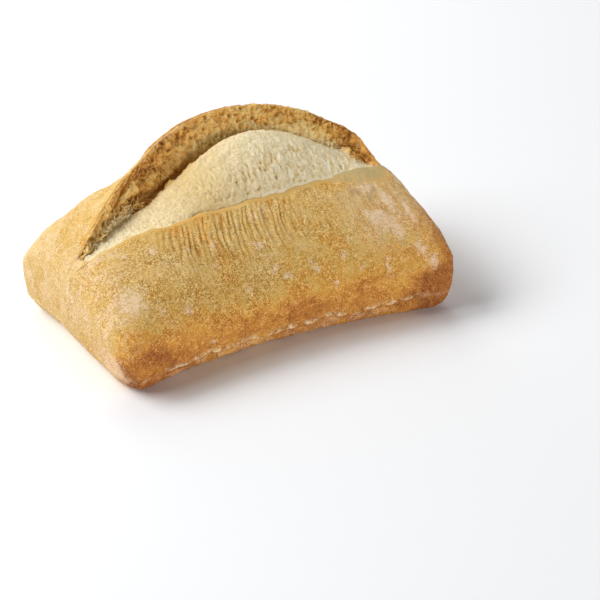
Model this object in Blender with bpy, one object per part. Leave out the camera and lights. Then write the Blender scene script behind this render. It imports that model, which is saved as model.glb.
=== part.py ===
# White bread roll: a soft oblong roll with pinched corners, slashed once along its length.
# The slash has opened into a dome of torn crumb, with the crust behind it lifted as an ear.
# Metres, +Z up. The slash runs along X, the ear is on the +Y side, and the roll rests on z = 0.
import math

import bmesh
import bpy
import numpy as np
from mathutils import Vector, noise

# Plan of the loaf at its seam, the widest line round it
HALF_LENGTH = 0.074
HALF_WIDTH = 0.0454
END_HOLLOW = 0.027  # share by which the ends fall in between the corners
SIDE_HOLLOW = 0.204  # share by which the long sides swell less at their middle than at the corners
BACK_SIDE_SHARE = 0.57  # the back side is hollowed this much as strongly as the front
CORNER_ROUND = 0.063
CORNER_SHARPNESS = 10.0
PULL_SHARPNESS = 4
END_MIDDLE, SIDE_MIDDLE = 0.4, 0.5  # where the hollows cross the even outline
SIDE_CURVE = 1.5

# Each corner drawn out of its even place, along X and Y
CORNER_PULLS = {
    "front left": (0.0018, -0.0020),
    "front right": (0.0004, 0.0),
    "back left": (-0.0006, -0.0018),
    "back right": (-0.0004, 0.0006),
}

# Places where the dough sits higher or lower than its rule: X, Y, radius, rise
SWELLINGS = [
    (-0.034, 0.028, 0.007, -0.0028),
    (-0.048, 0.036, 0.009, 0.0021),
    (-0.062, 0.042, 0.008, 0.0018),
    (-0.073, 0.042, 0.006, -0.0035),
    (0.066, 0.020, 0.007, 0.003),
    (0.0755, -0.0415, 0.006, -0.0028),
]
SWELLINGS_FROM, SWELLINGS_FULL = 0.008, 0.026  # heights between which they come in

# Heights
SEAM_HEIGHT = 0.0202
SEAM_DIP = 0.0016  # the seam is this much lower at the middle of the loaf
TOP_HEIGHT = 0.0407  # crust beside the slash, before the slash opened
TOP_TILT = 0.0015  # the left end stands higher by this, and the right end lower
LEFT_END_SQUARENESS = 3.45  # higher is a steeper end with a tighter shoulder
RIGHT_END_SQUARENESS = 7.8

# The slash, from its left tip to its right one, as shares of the half length
SLASH_LEFT = -0.945
SLASH_RIGHT = 1.145
SLASH_OFFSET = 0.00875  # towards the back
SLASH_TURN = 0.0075  # further back at the right end, and less at the left
SLASH_TIP = 0.0008  # half the gap between the slash's lines at its tips
CLOSING_FROM, CLOSING_TO = 0.90, 0.985  # where the ear runs back to the lip at the right end

# Each line of the slash: how far it rises and moves, and how fast it swells from the left and the right
LIP_RISE, LIP_FORWARD, LIP_FROM_LEFT, LIP_FROM_RIGHT = 0.0089, 0.0136, 0.19, 0.138
CREST_RISE, CREST_BACK, CREST_FROM_LEFT, CREST_FROM_RIGHT = 0.0245, 0.0107, 3.0, 2.48
RIM_RISE, RIM_BACK, RIM_FROM_LEFT, RIM_FROM_RIGHT = 0.0309, 0.0226, 1.115, 1.02
GROOVE_DEPTH = 0.009  # below the dome's crest
GROOVE_NEARNESS = 0.6  # share of the way from the crest to the rim
RIM_THICKNESS = 0.002
RIM_DROP = 0.0008  # from the rim's inner edge to its outer one

# Fullness of the arches beside the slash
FRONT_FULLNESS = 0.37
FRONT_SHOULDER = 0.47
LIP_SLOPE = math.radians(7.3)
DOME_FOOT, DOME_FULLNESS, DOME_SHOULDER = 0.12, 0.55, 0.5
VALLEY_SHOULDER, VALLEY_FOOT, VALLEY_STEEPNESS = 0.6, 0.05, 0.45
EAR_FOOT, EAR_FOOT_RISE, EAR_HEAD, EAR_HEAD_RISE = 0.15, 0.33, 0.1, 0.3
BACK_FULLNESS = 0.745
BACK_SHOULDER = 0.45
RIM_SLOPE = math.radians(70.0)

# The turn under the seam, down to the flat base
UNDER_TURN = 0.009
UNDER_TURN_SIDES = 0.0036  # added along the middle of the sides
UNDER_ROUNDNESS = 0.8

# Relief
CRAG_SIZE, CRAG_DEPTH = 0.0052, 0.0011  # on the ear's torn face
DIMPLE_SIZE, DIMPLE_DEPTH = 0.0068, 0.0007  # on the crumb
SWELL_SIZE, SWELL_DEPTH = 0.024, 0.0006  # slow unevenness of the crust
RELIEF_FADE = 0.008  # height above the seam over which the relief comes in

# Facets
STATIONS = 62
FRONT_POINTS, DOME_POINTS, VALLEY_POINTS, FACE_POINTS, BACK_POINTS = 15, 10, 5, 7, 14
UNDER_ROWS = 6
CURVE_SAMPLES = 41
STATION_SAMPLES = 2001
SHARP_ANGLE = math.radians(50.0)


def swell(share, from_left, from_right):
    """A hump from 0 at the slash's left tip to 0 at its right one, with a peak of 1."""
    share = min(max(share, 1e-9), 1 - 1e-9)
    peak = from_left / (from_left + from_right)
    return (share**from_left * (1 - share) ** from_right) / (peak**from_left * (1 - peak) ** from_right)


def smooth(value, low, high):
    """0 below low, 1 above high, and an even S between them."""
    share = min(1.0, max(0.0, (value - low) / (high - low)))
    return share * share * (3 - 2 * share)


def end_fall(along):
    """1 over the loaf's middle, falling round to 0 at its ends."""
    power = LEFT_END_SQUARENESS if along < 0 else RIGHT_END_SQUARENESS
    return max(0.0, 1 - abs(along) ** power) ** (1 / power)


def seam_height(along):
    return SEAM_HEIGHT - SEAM_DIP * (1 - along * along)


def stations():
    """Places along the loaf from -1 to 1, evenly spaced over the curve of its back."""
    fine = np.sin(np.linspace(-math.pi / 2, math.pi / 2, STATION_SAMPLES))
    height = np.array([end_fall(along) for along in fine]) * (TOP_HEIGHT - SEAM_HEIGHT)
    steps = np.hypot(np.diff(fine * HALF_LENGTH), np.diff(height))
    run = np.concatenate([[0.0], np.cumsum(steps)])
    return np.interp(np.linspace(0, run[-1], STATIONS), run, fine)


def even_curve(start, start_pull, end_pull, end, count):
    """Points evenly spaced along a cubic curve through the section, both ends included."""
    t = np.linspace(0, 1, CURVE_SAMPLES)[:, None]
    corners = [np.array(corner) for corner in (start, start_pull, end_pull, end)]
    weights = [(1 - t) ** 3, 3 * (1 - t) ** 2 * t, 3 * (1 - t) * t * t, t**3]
    path = sum(weight * corner for weight, corner in zip(weights, corners))
    run = np.concatenate([[0.0], np.cumsum(np.linalg.norm(np.diff(path, axis=0), axis=1))])
    wanted = np.linspace(0, run[-1], count)
    return np.stack([np.interp(wanted, run, path[:, axis]) for axis in (0, 1)], axis=1)


def slash_lines(along):
    """Section points (y, z) of the lip, crest, groove, rim and its outer edge, with the slopes there."""
    share = (along - SLASH_LEFT) / (SLASH_RIGHT - SLASH_LEFT)
    fall = end_fall(along)
    middle = SLASH_OFFSET + SLASH_TURN * along
    top = seam_height(along) + (TOP_HEIGHT - TOP_TILT * along - SEAM_HEIGHT) * fall
    lip = swell(share, LIP_FROM_LEFT, LIP_FROM_RIGHT) * fall
    crest = swell(share, CREST_FROM_LEFT, CREST_FROM_RIGHT) * fall
    rim = swell(share, RIM_FROM_LEFT, RIM_FROM_RIGHT) * fall
    lip_at = np.array([middle - 3 * SLASH_TIP - LIP_FORWARD * lip, top + LIP_RISE * lip])
    crest_at = np.array([middle - SLASH_TIP + CREST_BACK * crest, top + CREST_RISE * crest])
    rim_at = np.array([middle + SLASH_TIP + RIM_BACK * rim, top + RIM_RISE * rim])
    closing = smooth(along, CLOSING_FROM, CLOSING_TO)
    crest_at += (lip_at + [2 * SLASH_TIP, 0] - crest_at) * closing
    rim_at += (lip_at + [4 * SLASH_TIP, 0] - rim_at) * closing
    crest *= 1 - closing
    rim *= 1 - closing
    groove_y = crest_at[0] + (rim_at[0] - crest_at[0]) * GROOVE_NEARNESS
    groove_at = np.array([groove_y, crest_at[1] - GROOVE_DEPTH * crest])
    outer_at = rim_at + np.array([2 * SLASH_TIP + RIM_THICKNESS * rim, -RIM_DROP * rim])
    return lip_at, crest_at, groove_at, rim_at, outer_at, LIP_SLOPE * lip, RIM_SLOPE * rim


def section(along):
    """One cross-section from the front seam over the top to the back seam, with each point's surface."""
    lip, crest, groove, rim, outer, lip_slope, rim_slope = slash_lines(along)
    front = np.array([-HALF_WIDTH, seam_height(along)])
    back = np.array([HALF_WIDTH, seam_height(along)])
    reach = FRONT_SHOULDER * (lip[0] - front[0])
    front_arch = even_curve(
        front,
        front + [0, FRONT_FULLNESS * (lip[1] - front[1])],
        lip - [reach * math.cos(lip_slope), reach * math.sin(lip_slope)],
        lip,
        FRONT_POINTS,
    )
    up, down, face = crest - lip, groove - crest, rim - groove
    dome = even_curve(
        lip,
        lip + up * [DOME_FOOT, DOME_FULLNESS],
        crest - up * [DOME_SHOULDER, 0],
        crest,
        DOME_POINTS,
    )
    valley = even_curve(
        crest,
        crest + down * [VALLEY_SHOULDER, 0],
        groove - down * [VALLEY_FOOT, VALLEY_STEEPNESS],
        groove,
        VALLEY_POINTS,
    )
    ear_face = even_curve(
        groove,
        groove + face * [EAR_FOOT, EAR_FOOT_RISE],
        rim - face * [EAR_HEAD, EAR_HEAD_RISE],
        rim,
        FACE_POINTS,
    )
    reach = BACK_SHOULDER * (back[0] - outer[0])
    back_arch = even_curve(
        outer,
        outer + [reach * math.cos(rim_slope), -reach * math.sin(rim_slope)],
        back + [0, BACK_FULLNESS * (outer[1] - back[1])],
        back,
        BACK_POINTS,
    )
    points = np.concatenate([front_arch, dome[1:], valley[1:], ear_face[1:], back_arch])
    kinds = ["crust"] * FRONT_POINTS + ["crumb"] * (DOME_POINTS + VALLEY_POINTS - 2)
    kinds += ["ear"] * (FACE_POINTS - 1) + ["crust"] * BACK_POINTS
    return points, kinds


def placed(along, y, z):
    """A section point in the loaf, with hollow sides, rounded corners and swellings."""
    across = y / HALF_WIDTH
    corner = CORNER_ROUND * abs(along * across) ** CORNER_SHARPNESS
    hollow = SIDE_HOLLOW * (BACK_SIDE_SHARE if across > 0 else 1.0)
    side = hollow * (along * along - SIDE_MIDDLE) * abs(across) ** SIDE_CURVE
    x = HALF_LENGTH * along * (1 + END_HOLLOW * (across * across - END_MIDDLE) - corner)
    pull = CORNER_PULLS[("back " if across > 0 else "front ") + ("right" if along > 0 else "left")]
    nearness = abs(along * across) ** PULL_SHARPNESS
    x += pull[0] * nearness
    y = y * (1 + side - corner) + pull[1] * nearness
    lift = 0.0
    for centre_x, centre_y, radius, rise in SWELLINGS:
        lift += rise * math.exp(-((x - centre_x) ** 2 + (y - centre_y) ** 2) / radius**2)
    return Vector((x, y, z + lift * smooth(z, SWELLINGS_FROM, SWELLINGS_FULL)))


def under_row(loop, turned):
    """The seam loop drawn in and down; turned runs from 0 at the seam to 1 at the base."""
    inward = 1 - math.cos(turned * math.pi / 2) ** UNDER_ROUNDNESS if turned < 1 else 1.0
    height = 1 - math.sin(turned * math.pi / 2) ** UNDER_ROUNDNESS
    row = []
    for point in loop:
        side = max(0.0, 1 - (point.x / HALF_LENGTH) ** 2)
        side *= min(1.0, max(0.0, abs(point.y) / HALF_WIDTH * 2 - 1))
        turn = (UNDER_TURN + UNDER_TURN_SIDES * side) * inward
        x = point.x * (1 - turn / HALF_LENGTH)
        y = point.y * (1 - turn / HALF_WIDTH)
        row.append(Vector((x, y, point.z * height)))
    return row


def relief(point, kind, seam):
    """How far the surface stands out at a point, by the kind of surface."""
    away = min(1.0, max(0.0, (point.z - seam) / RELIEF_FADE))
    depth = SWELL_DEPTH * noise.noise(point / SWELL_SIZE)
    if kind == "ear":
        depth += CRAG_DEPTH * noise.noise(point / CRAG_SIZE)
    if kind == "crumb":
        depth += DIMPLE_DEPTH * noise.noise(point / DIMPLE_SIZE)
    return depth * away


def roll_mesh():
    """The closed solid: a sheet over the top, rows turned in under the seam, and a flat base."""
    bm = bmesh.new()
    grid, kinds = [], []
    for along in stations():
        points, kinds = section(along)
        grid.append([bm.verts.new(placed(along, y, z)) for y, z in points])
    for near, far in zip(grid, grid[1:]):
        for a, b, c, d in zip(near, far, far[1:], near[1:]):
            bm.faces.new((a, b, c, d))
    front = [row[0] for row in grid]
    back = [row[-1] for row in reversed(grid)]
    loop = front + grid[-1][1:-1] + back + grid[0][-2:0:-1]
    seam = [vert.co.copy() for vert in loop]
    for row_number in range(1, UNDER_ROWS):
        row = [bm.verts.new(point) for point in under_row(seam, row_number / (UNDER_ROWS - 1))]
        for i, vert in enumerate(row):
            bm.faces.new((loop[i - 1], row[i - 1], vert, loop[i]))
        loop = row
    bm.faces.new(reversed(loop))
    bm.normal_update()
    for row in grid[1:-1]:
        moves = [relief(vert.co, kind, SEAM_HEIGHT) * vert.normal for vert, kind in zip(row, kinds)]
        for vert, move in zip(row, moves):
            vert.co += move
    low = [min(vert.co[axis] for vert in bm.verts) for axis in (0, 1)]
    high = [max(vert.co[axis] for vert in bm.verts) for axis in (0, 1)]
    middle = Vector(((low[0] + high[0]) / 2, (low[1] + high[1]) / 2, 0))
    bmesh.ops.translate(bm, verts=bm.verts, vec=-middle)
    bmesh.ops.triangulate(bm, faces=[face for face in bm.faces if len(face.verts) == 4])
    mesh = bpy.data.meshes.new("bread_roll")
    bm.to_mesh(mesh)
    bm.free()
    mesh.shade_smooth()
    mesh.set_sharp_from_angle(angle=SHARP_ANGLE)
    return mesh


def crust_material():
    """Golden crust, dry and matt."""
    material = bpy.data.materials.new("golden crust")
    material.use_nodes = True
    shader = material.node_tree.nodes["Principled BSDF"]
    shader.inputs["Base Color"].default_value = (0.56, 0.34, 0.13, 1)
    shader.inputs["Roughness"].default_value = 0.75
    shader.inputs["Metallic"].default_value = 0.0
    return material


def main():
    for old in list(bpy.data.objects):
        bpy.data.objects.remove(old)
    roll = bpy.data.objects.new("bread_roll", roll_mesh())
    roll.data.materials.append(crust_material())
    bpy.context.scene.collection.objects.link(roll)


main()
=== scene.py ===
import math

import bpy
import numpy as np
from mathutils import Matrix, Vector


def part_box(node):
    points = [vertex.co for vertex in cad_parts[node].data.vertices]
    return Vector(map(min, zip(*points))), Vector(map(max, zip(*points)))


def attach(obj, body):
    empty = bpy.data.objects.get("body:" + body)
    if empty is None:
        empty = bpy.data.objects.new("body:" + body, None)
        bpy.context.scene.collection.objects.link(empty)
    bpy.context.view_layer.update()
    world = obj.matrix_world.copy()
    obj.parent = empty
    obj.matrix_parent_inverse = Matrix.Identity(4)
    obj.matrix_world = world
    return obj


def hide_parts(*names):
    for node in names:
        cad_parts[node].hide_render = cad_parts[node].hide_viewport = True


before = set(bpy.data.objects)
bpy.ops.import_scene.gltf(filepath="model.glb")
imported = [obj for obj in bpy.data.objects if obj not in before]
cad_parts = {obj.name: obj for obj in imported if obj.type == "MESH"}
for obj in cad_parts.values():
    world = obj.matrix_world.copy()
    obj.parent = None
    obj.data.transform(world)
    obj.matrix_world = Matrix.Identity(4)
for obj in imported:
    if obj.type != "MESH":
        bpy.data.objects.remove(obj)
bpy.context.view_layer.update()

nodeLow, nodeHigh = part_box("bread_roll")
cadLength = 148.47  # the solid's length in millimetres
unit = (nodeHigh.x - nodeLow.x) / cadLength  # one millimetre of the roll, as the frame sizes it
mm = 0.001
print("frame loaded, roll is %.1f mm long" % ((nodeHigh.x - nodeLow.x) * 1000))

# The loaf's form, in millimetres before unit scales it. It matches the solid it stands for.
loaf = {
    "halfLength": 74.0, "halfWidth": 45.4,
    "endHollow": 0.027, "sideHollow": 0.204, "backSideShare": 0.57,
    "cornerRound": 0.063, "cornerSharpness": 10.0,
    "cornerPulls": {(-1, -1): (1.8, -2.0), (1, -1): (0.4, 0.0), (-1, 1): (-0.6, -1.8), (1, 1): (-0.4, 0.6)},
    "seamHeight": 20.2, "seamDip": 1.6,
    "topHeight": 40.7, "topTilt": 1.5,
    "leftSquareness": 3.45, "rightSquareness": 7.8,
    "slashLeft": -0.945, "slashRight": 1.145, "slashOffset": 8.75, "slashTurn": 7.5, "slashTip": 0.8,
    "slashCloses": (0.90, 0.985), "lipWobble": 0.36,
    "lip": (8.9, -13.6, 0.19, 0.138),      # rise, move across, swell from the left, swell from the right
    "crest": (24.5, 10.7, 3.0, 2.48),
    "rim": (30.9, 22.6, 1.115, 1.02),
    "grooveDepth": 9.0, "grooveNearness": 0.6, "rimThickness": 2.0,
    "frontFullness": 0.37, "frontShoulder": 0.47, "lipSlope": math.radians(7.3),
    "domeFullness": 0.55,
    "backFullness": 0.745, "backShoulder": 0.45, "rimSlope": math.radians(70.0),
    "underTurn": 9.0, "underTurnSides": 3.6, "underRoundness": 0.8,
    # places where the dough sits higher or lower than the rule: x, y, radius, rise
    "swellings": [(-34, 28, 7, -2.8), (-48, 36, 9, 2.1), (-62, 42, 8, 1.8), (-73, 42, 6, -3.5),
                  (66, 20, 7, 3.0), (75.5, -41.5, 6, -2.8)],
}


def hump(share, fromLeft, fromRight):
    # 0 at both ends of the slash and 1 at its highest place, with a power for each side
    share = np.clip(share, 1e-9, 1 - 1e-9)
    peak = fromLeft / (fromLeft + fromRight)
    return (share**fromLeft * (1 - share) ** fromRight) / (peak**fromLeft * (1 - peak) ** fromRight)


def smooth(x, low, high):
    t = np.clip((x - low) / (high - low), 0, 1)
    return t * t * (3 - 2 * t)


def fade(x, start, end):
    return smooth(-x, -end, -start)


def bell(x, middle, width):
    return np.exp(-(((x - middle) / width) ** 2))


def spot(x, y, z, centre, radii):
    return np.exp(-sum(((v - c) / r) ** 2 for v, c, r in zip((x, y, z), centre, radii)))


def endFall(p):
    # how the loaf's top falls to the seam at the two ends
    power = np.where(p < 0, loaf["leftSquareness"], loaf["rightSquareness"])
    return np.clip(1 - np.abs(p) ** power, 0, 1) ** (1 / power)


def spreadStations(count, first=-1.0, last=1.0):
    # places along the loaf from -1 to 1, evenly spaced along its rounded outline
    fine = np.sin(np.linspace(-math.pi / 2, math.pi / 2, 4001))
    fine = fine[(fine >= first) & (fine <= last)]
    height = endFall(fine) * (loaf["topHeight"] - loaf["seamHeight"])
    steps = np.hypot(np.diff(fine * loaf["halfLength"]), np.diff(height))
    run = np.concatenate([[0.0], np.cumsum(steps)])
    return np.interp(np.linspace(0, run[-1], count), run, fine)


def yz(y, z):
    return np.stack([y + 0 * z, z + 0 * y], -1)


def evenCurve(a, b, c, d, count):
    # count points evenly spaced along a cubic curve, for every station at once
    t = np.linspace(0, 1, 61)[None, :, None]
    a, b, c, d = (np.asarray(v)[:, None, :] for v in (a, b, c, d))
    path = (1 - t) ** 3 * a + 3 * (1 - t) ** 2 * t * b + 3 * (1 - t) * t * t * c + t**3 * d
    step = np.linalg.norm(np.diff(path, axis=1), axis=2) + 1e-9
    run = np.concatenate([np.zeros((len(path), 1)), np.cumsum(step, 1)], 1)
    out = np.empty((len(path), count, 2))
    for i in range(len(path)):
        wanted = np.linspace(0, run[i, -1], count)
        for axis in (0, 1):
            out[i, :, axis] = np.interp(wanted, run[i], path[i, :, axis])
    return out


def slashLines(p):
    # section points of the lip, crest, groove and rim, and how far the slash is open at each station
    share = (p - loaf["slashLeft"]) / (loaf["slashRight"] - loaf["slashLeft"])
    fall = endFall(p)
    tip = loaf["slashTip"]
    seam = loaf["seamHeight"] - loaf["seamDip"] * (1 - p * p)
    top = seam + (loaf["topHeight"] - loaf["topTilt"] * p - loaf["seamHeight"]) * fall
    middle = loaf["slashOffset"] + loaf["slashTurn"] * p
    grow = {}
    for name in ("lip", "crest", "rim"):
        grow[name] = hump(share, *loaf[name][2:]) * fall
    closing = smooth(p, *loaf["slashCloses"])
    at = {"open": smooth(grow["rim"], 0.0, 0.12) * fade(closing, 0.7, 1.0), "grow": grow}
    for name, start in (("lip", -3 * tip), ("crest", -tip), ("rim", tip)):
        rise, across = loaf[name][:2]
        at[name] = yz(middle + start + across * grow[name], top + rise * grow[name])
    wobble = loaf["lipWobble"] * (np.sin(p * 19 + 0.6) + 0.7 * np.sin(p * 43)) * grow["lip"]
    at["lip"] = at["lip"] + yz(wobble, 0.5 * wobble)
    # at the right end the crest and the rim run back to the lip
    for name, away in (("crest", 2 * tip), ("rim", 4 * tip)):
        at[name] += (at["lip"] + yz(away, 0 * p) - at[name]) * closing[:, None]
    for name in ("crest", "rim"):
        grow[name] = grow[name] * (1 - closing)
    nearness = loaf["grooveNearness"]
    grooveY = at["crest"][:, 0] * (1 - nearness) + at["rim"][:, 0] * nearness
    at["groove"] = yz(grooveY, at["crest"][:, 1] - loaf["grooveDepth"] * grow["crest"])
    at["outer"] = at["rim"] + yz(2 * tip + loaf["rimThickness"] * grow["rim"], -0.8 * grow["rim"])
    at["front"] = yz(-loaf["halfWidth"] + 0 * p, seam)
    at["back"] = yz(loaf["halfWidth"] + 0 * p, seam)
    return at


def placeOnLoaf(p, sections):
    # hollow sides, rounded and pulled corners
    p = p[:, None] + 0 * sections[..., 0]
    q = sections[..., 0] / loaf["halfWidth"]
    corner = loaf["cornerRound"] * np.abs(p * q) ** loaf["cornerSharpness"]
    side = loaf["sideHollow"] * np.where(q > 0, loaf["backSideShare"], 1.0) * (p * p - 0.5) * np.abs(q) ** 1.5
    x = loaf["halfLength"] * p * (1 + loaf["endHollow"] * (q * q - 0.4) - corner)
    y = sections[..., 0] * (1 + side - corner)
    near = np.abs(p * q) ** 4
    for (alongSide, acrossSide), (dx, dy) in loaf["cornerPulls"].items():
        here = near * (np.where(p > 0, 1, -1) == alongSide) * (np.where(q > 0, 1, -1) == acrossSide)
        x, y = x + dx * here, y + dy * here
    z = sections[..., 1]
    lift = sum(rise * bell(x, cx, radius) * bell(y, cy, radius) for cx, cy, radius, rise in loaf["swellings"])
    return np.stack([x, y, z + lift * smooth(z, 8, 26)], -1)


def gridFaces(rows, columns, closed=False):
    i, j = np.meshgrid(np.arange(rows - 1), np.arange(columns if closed else columns - 1), indexing="ij")
    here, beside = i * columns + j, i * columns + (j + 1) % columns
    return np.stack([here, here + columns, beside + columns, beside], -1).reshape(-1, 4)


def newMesh(name, points, faces, attributes, caps=()):
    mesh = bpy.data.meshes.new(name)
    mesh.from_pydata((points * unit).tolist(), [], faces.tolist() + [list(cap) for cap in caps])
    for attributeName, values in attributes.items():
        values = np.asarray(values, np.float32)
        kind = "FLOAT" if values.ndim == 1 else "FLOAT_VECTOR"
        attribute = mesh.attributes.new(attributeName, kind, "POINT")
        attribute.data.foreach_set("value" if values.ndim == 1 else "vector", values.ravel())
    mesh.validate()
    mesh.shade_smooth()
    piece = bpy.data.objects.new(name, mesh)
    bpy.context.scene.collection.objects.link(piece)
    return piece


def runLength(sections, start):
    # distance along each section from the point numbered start, negative towards the front
    step = np.linalg.norm(np.diff(sections, axis=1), axis=2)
    run = np.concatenate([np.zeros((len(sections), 1)), np.cumsum(step, 1)], 1)
    return run - run[:, start:start + 1]


# helpers for shader trees and Geometry Nodes trees
def addNode(tree, kind, inputs=None, **settings):
    node = tree.nodes.new(kind)
    for name, value in settings.items():
        setattr(node, name, value)
    for socket, value in (inputs or {}).items():
        if isinstance(value, bpy.types.NodeSocket):
            tree.links.new(value, node.inputs[socket])
        else:
            node.inputs[socket].default_value = value
    return node


def calc(operation, a, b=0.0, clamp=False):
    # one of the two is a socket, and tells which tree the sum belongs to
    tree = next(value.id_data for value in (a, b) if isinstance(value, bpy.types.NodeSocket))
    return addNode(tree, "ShaderNodeMath", {0: a, 1: b}, operation=operation, use_clamp=clamp).outputs[0]


def times(first, *others):
    for other in others:
        first = calc("MULTIPLY", first, other)
    return first


def plus(first, *others, clamp=False):
    # a clamp holds for the last sum alone
    for other in others:
        first = calc("ADD", first, other, clamp and other is others[-1])
    return first


def less(a, b, clamp=False):
    return calc("SUBTRACT", a, b, clamp)


def most(a, b, clamp=False):
    return calc("MAXIMUM", a, b, clamp)


def over(a, b):
    return calc("DIVIDE", a, b)


def vectorCalc(operation, a, inputs):
    return addNode(a.id_data, "ShaderNodeVectorMath", {0: a, **inputs}, operation=operation).outputs[0]


def middled(value):
    return less(value, 0.5)


def fit(value, fromLow, fromHigh, toLow=0.0, toHigh=1.0):
    inputs = {0: value, 1: fromLow, 2: fromHigh, 3: toLow, 4: toHigh}
    return addNode(value.id_data, "ShaderNodeMapRange", inputs, clamp=True).outputs[0]


def noiseAt(where, scale, detail=2.0, roughness=0.5, distortion=0.0):
    inputs = {"Vector": where, "Scale": scale, "Detail": detail, "Roughness": roughness}
    return addNode(where.id_data, "ShaderNodeTexNoise", {**inputs, "Distortion": distortion}).outputs[0]


def named(tree, name, kind="FLOAT"):
    return addNode(tree, "GeometryNodeInputNamedAttribute", {"Name": name}, data_type=kind).outputs[0]


def startTree(name, sockets):
    tree = bpy.data.node_groups.new(name, "GeometryNodeTree")
    tree.interface.new_socket(name="Geometry", in_out="INPUT", socket_type="NodeSocketGeometry")
    identifiers = {}
    for socketName, kind in sockets:
        made = tree.interface.new_socket(name=socketName, in_out="INPUT", socket_type="NodeSocket" + kind)
        identifiers[socketName] = made.identifier
    tree.interface.new_socket(name="Geometry", in_out="OUTPUT", socket_type="NodeSocketGeometry")
    source = tree.nodes.new("NodeGroupInput")
    sink = tree.nodes.new("NodeGroupOutput")
    return tree, source, sink, identifiers


def runTree(piece, tree, identifiers, values):
    # puts the tree on the piece, evaluates it, and keeps the result as the piece's plain mesh
    modifier = piece.modifiers.new(tree.name, "NODES")
    modifier.node_group = tree
    for name, value in values.items():
        modifier[identifiers[name]] = value
    evaluated = piece.evaluated_get(bpy.context.evaluated_depsgraph_get())
    mesh = bpy.data.meshes.new_from_object(evaluated)
    old = piece.data
    piece.modifiers.clear()
    piece.data = mesh
    bpy.data.meshes.remove(old)
    mesh.name = piece.name
    mesh.shade_smooth()
    return piece


def finishTree(tree, source, sink, geometry):
    whole = addNode(tree, "GeometryNodeRealizeInstances", {0: geometry}).outputs[0]
    inputs = {"Geometry": whole, "Material": source.outputs["Material"]}
    tree.links.new(addNode(tree, "GeometryNodeSetMaterial", inputs).outputs[0], sink.inputs[0])


def pushOut(tree, geometry, distance):
    normal = addNode(tree, "GeometryNodeInputNormal").outputs[0]
    offset = vectorCalc("SCALE", normal, {3: distance})
    return addNode(tree, "GeometryNodeSetPosition", {"Geometry": geometry, "Offset": offset}).outputs[0]


def storeValue(tree, geometry, name, value):
    inputs = {"Geometry": geometry, "Name": name, "Value": value}
    settings = {"data_type": "FLOAT", "domain": "POINT"}
    return addNode(tree, "GeometryNodeStoreNamedAttribute", inputs, **settings).outputs[0]


def drawnNoise(tree, width, attribute, ratio, detail=2.0, distortion=0.25):
    # noise drawn out along the section, so that it runs in strokes
    fold = named(tree, attribute, "FLOAT_VECTOR")
    across = over(1.0, width)
    size = addNode(tree, "ShaderNodeCombineXYZ", {0: across, 1: times(across, ratio), 2: 1.0}).outputs[0]
    drawn = vectorCalc("MULTIPLY", fold, {1: size})
    return middled(noiseAt(drawn, 1.0, detail, 0.55, distortion))


def roundNoise(tree, given, name, detail, distortion=0.0):
    # noise of the size and depth that the tree's inputs give for this name
    where = addNode(tree, "GeometryNodeInputPosition").outputs[0]
    scale = over(1.0, given[name + " Size"])
    wave = middled(noiseAt(where, scale, detail, 0.55, distortion))
    return times(wave, given[name + " Depth"], 2.0)


def sizeInputs(relief):
    sizes = [(name + part, "Float") for name in relief for part in (" Size", " Depth")]
    return [("Material", "Material")] + sizes


def sizeValues(relief, material):
    values = {"Material": material}
    for name, (size, depth) in relief.items():
        values[name + " Size"] = size * mm
        values[name + " Depth"] = depth * mm
    return values


def newMaterial(name, roughness, subsurface=0.0):
    material = bpy.data.materials.new(name)
    material.use_nodes = True
    tree = material.node_tree
    shader = tree.nodes["Principled BSDF"]
    shader.inputs["Roughness"].default_value = roughness
    shader.inputs["Specular IOR Level"].default_value = 0.25
    if subsurface:
        shader.inputs["Subsurface Weight"].default_value = subsurface
        shader.inputs["Subsurface Radius"].default_value = (1.0, 0.6, 0.3)
        shader.inputs["Subsurface Scale"].default_value = 0.002
    return material, tree, shader


def attributeOf(tree, name, output="Fac"):
    return addNode(tree, "ShaderNodeAttribute", attribute_name=name).outputs[output]


def mixColour(fac, a, b, blend="MIX"):
    a, b = (side if isinstance(side, bpy.types.NodeSocket) else (*side, 1) for side in (a, b))
    settings = {"data_type": "RGBA", "blend_type": blend, "clamp_factor": True}
    return addNode(fac.id_data, "ShaderNodeMix", {0: fac, 6: a, 7: b}, **settings).outputs[2]


def ramp(fac, stops):
    node = addNode(fac.id_data, "ShaderNodeValToRGB", {0: fac})
    line = node.color_ramp
    while len(line.elements) < len(stops):
        line.elements.new(0.5)
    for element, (place, colour) in zip(line.elements, stops):
        element.position = place
        element.color = (*colour, 1)
    return node.outputs[0]


def startGroup(name, inputs, outputs):
    tree = bpy.data.node_groups.new(name, "ShaderNodeTree")
    for socketName, kind, value in inputs:
        made = tree.interface.new_socket(name=socketName, in_out="INPUT", socket_type="NodeSocket" + kind)
        if value is not None:
            made.default_value = value
    for socketName, kind in outputs:
        tree.interface.new_socket(name=socketName, in_out="OUTPUT", socket_type="NodeSocket" + kind)
    return tree, tree.nodes.new("NodeGroupInput"), tree.nodes.new("NodeGroupOutput")


def fineGrainGroup():
    # tiny light and dark specks with their height, from two sizes of noise
    inputs = [("Vector", "Vector", None), ("Scale", "Float", 1000.0), ("Contrast", "Float", 1.0)]
    tree, source, sink = startGroup("fineGrain", inputs, [("Tone", "Float"), ("Height", "Float")])
    vector, scale = source.outputs["Vector"], source.outputs["Scale"]
    small = noiseAt(vector, scale, 3.0, 0.75)
    larger = noiseAt(vector, times(scale, 0.36), 2.0, 0.6)
    both = plus(times(small, 0.78), times(larger, 0.22))
    tone = times(middled(both), source.outputs["Contrast"])
    tree.links.new(plus(tone, 0.5, clamp=True), sink.inputs["Tone"])
    tree.links.new(both, sink.inputs["Height"])
    return tree


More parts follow.
